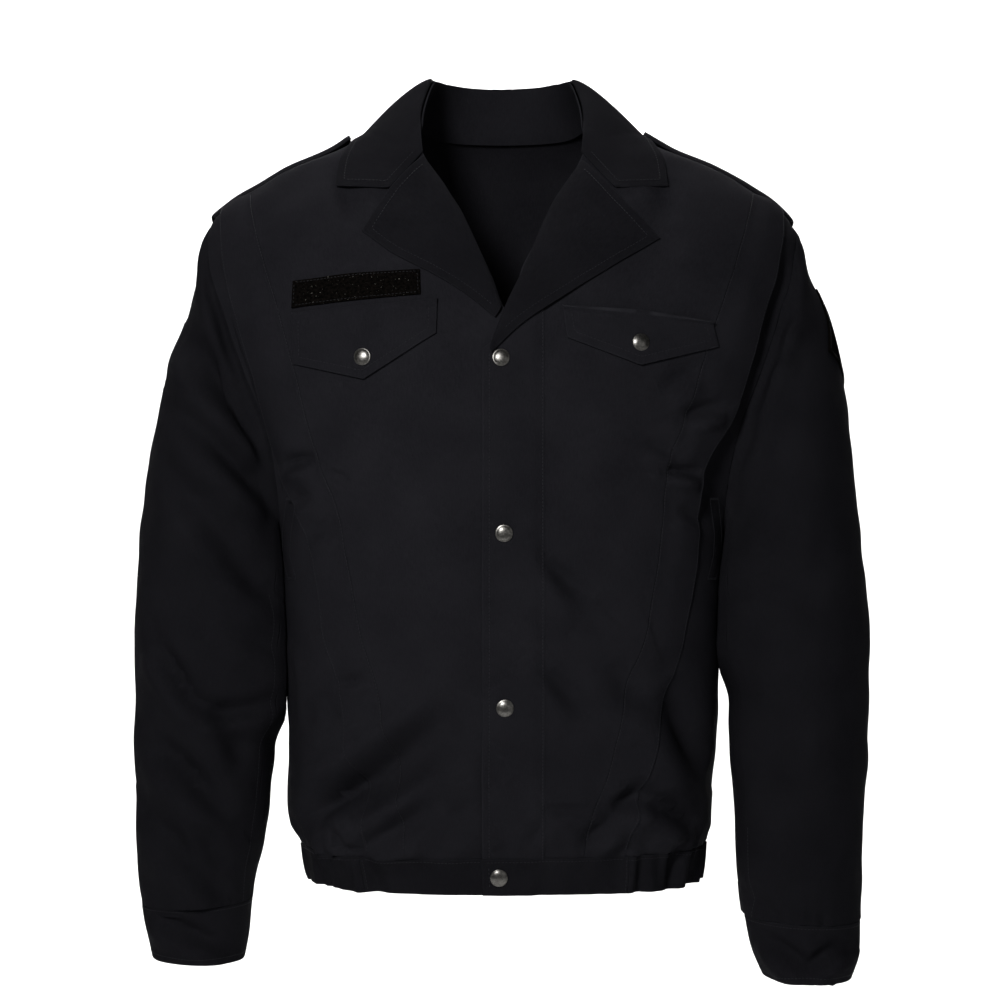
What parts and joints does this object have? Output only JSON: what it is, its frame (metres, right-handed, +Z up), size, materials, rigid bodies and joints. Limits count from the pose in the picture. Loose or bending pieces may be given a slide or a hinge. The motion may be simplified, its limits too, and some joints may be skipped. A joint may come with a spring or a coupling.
{
  "type": "police uniform jacket",
  "caption": "Waist-length uniform jacket with notched lapels, shoulder straps, snap placket, chest pocket flaps, side pleats, cuffs and a gathered waistband, in its worn form.",
  "frame": {"origin": "midway between the two points where the shoulder seams meet the neck, at the height where the wearer's shoulders carry the jacket", "axes": "+Z up along the wearer's back, the wearer faces -Y, +X to the wearer's left"},
  "size_m": [0.6535, 0.2663, 0.792],
  "materials": {
    "twill": "matt near-black navy twill",
    "hook_and_loop": "black hook-and-loop strip",
    "gunmetal": "dark gunmetal, polished dome"
  },
  "bodies": {
    "root": {"front_left": "twill", "front_right": "twill", "side_left": "twill", "side_right": "twill", "back": "twill", "sleeve_left": "twill", "sleeve_right": "twill", "cuff_left": "twill", "cuff_right": "twill", "band_left": "twill", "band_right": "twill", "band_back": "twill", "placket": "twill", "lapel_left": "twill", "lapel_right": "twill", "collar": "twill", "collar_stand": "twill", "strap_left": "twill", "strap_right": "twill", "flap_left": "twill", "flap_right": "twill", "name_tape": "hook_and_loop", "sleeve_patch": "hook_and_loop", "snap_front_1": "gunmetal", "snap_front_2": "gunmetal", "snap_front_3": "gunmetal", "snap_front_4": "gunmetal", "snap_flap_left": "gunmetal", "snap_flap_right": "gunmetal"}
  },
  "joints": []
}
